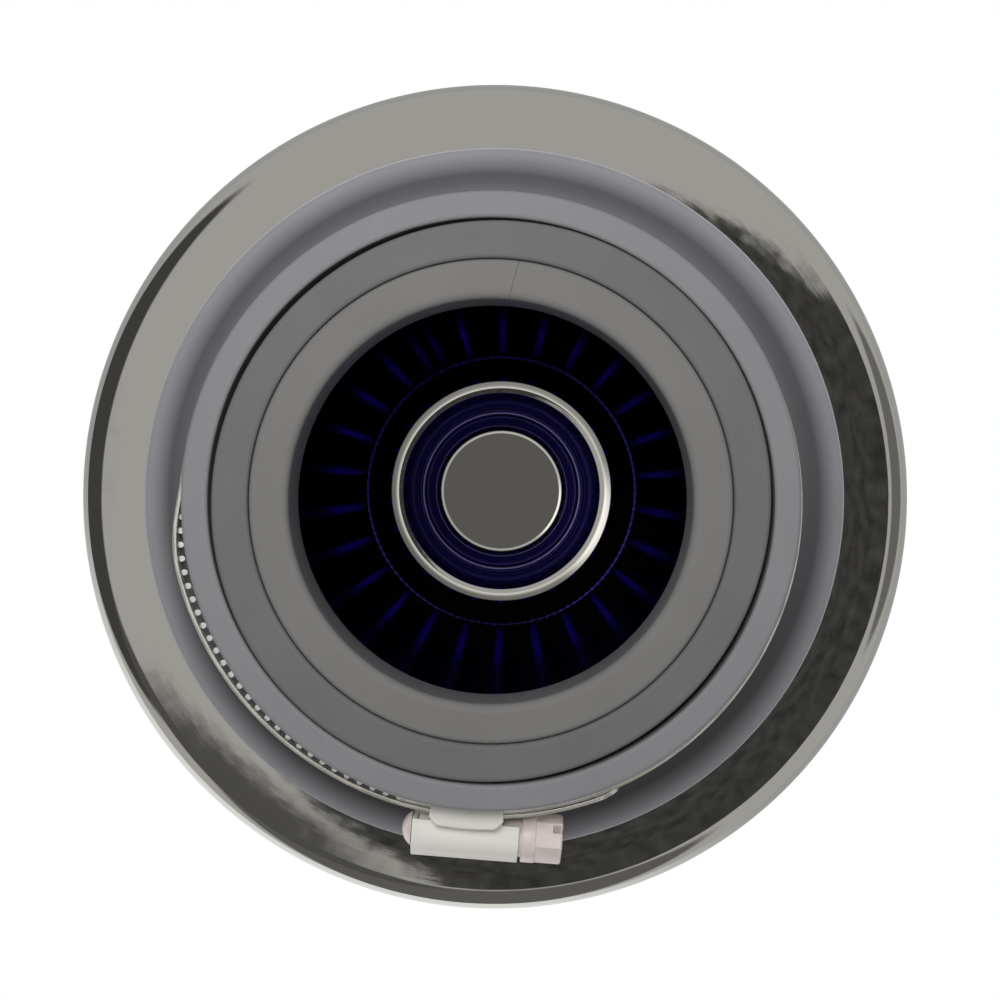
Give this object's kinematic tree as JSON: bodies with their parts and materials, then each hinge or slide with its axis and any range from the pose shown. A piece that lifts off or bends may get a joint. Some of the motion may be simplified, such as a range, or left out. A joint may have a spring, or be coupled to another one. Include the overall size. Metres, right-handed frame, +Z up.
{
  "type": "cone air filter",
  "caption": "Clamp-on cone air filter: pleated blue gauze between wire screens, chromed steel end cap and base plate, rubber inlet neck with nested reducer rings, and a worm-drive hose clamp.",
  "frame": {"origin": "centre of the end cap's flat resting face, on the filter's axis", "axes": "+Z up the filter's axis from the end cap to the inlet neck; the clamp's screw lies along X on the -Y side"},
  "size_m": [0.15, 0.15, 0.195],
  "materials": {
    "neck_rubber": "satin",
    "reducer_rubber": "matte",
    "chrome": "polished",
    "potting": "matte",
    "gauze": "matte",
    "screen_wire": "satin",
    "clamp_steel": "satin",
    "screw_steel": "satin"
  },
  "bodies": {
    "filter": {"neck": "neck_rubber", "reducer_outer": "reducer_rubber", "reducer_inner": "reducer_rubber", "base_plate": "chrome", "base_potting": "potting", "filter_gauze": "gauze", "outer_screen": "screen_wire", "inner_screen": "screen_wire", "cap_potting": "potting", "end_cap": "chrome", "clamp_band": "clamp_steel", "clamp_saddle": "clamp_steel", "clamp_housing": "clamp_steel"},
    "clamp_screw": {"clamp_screw": "screw_steel"}
  },
  "joints": [
    {"name": "clamp_screw_turn", "type": "hinge", "parent": "filter", "child": "clamp_screw", "pos_m": [0, -0.0546, 0.183], "axis": [1, 0, 0], "continuous": true}
  ]
}
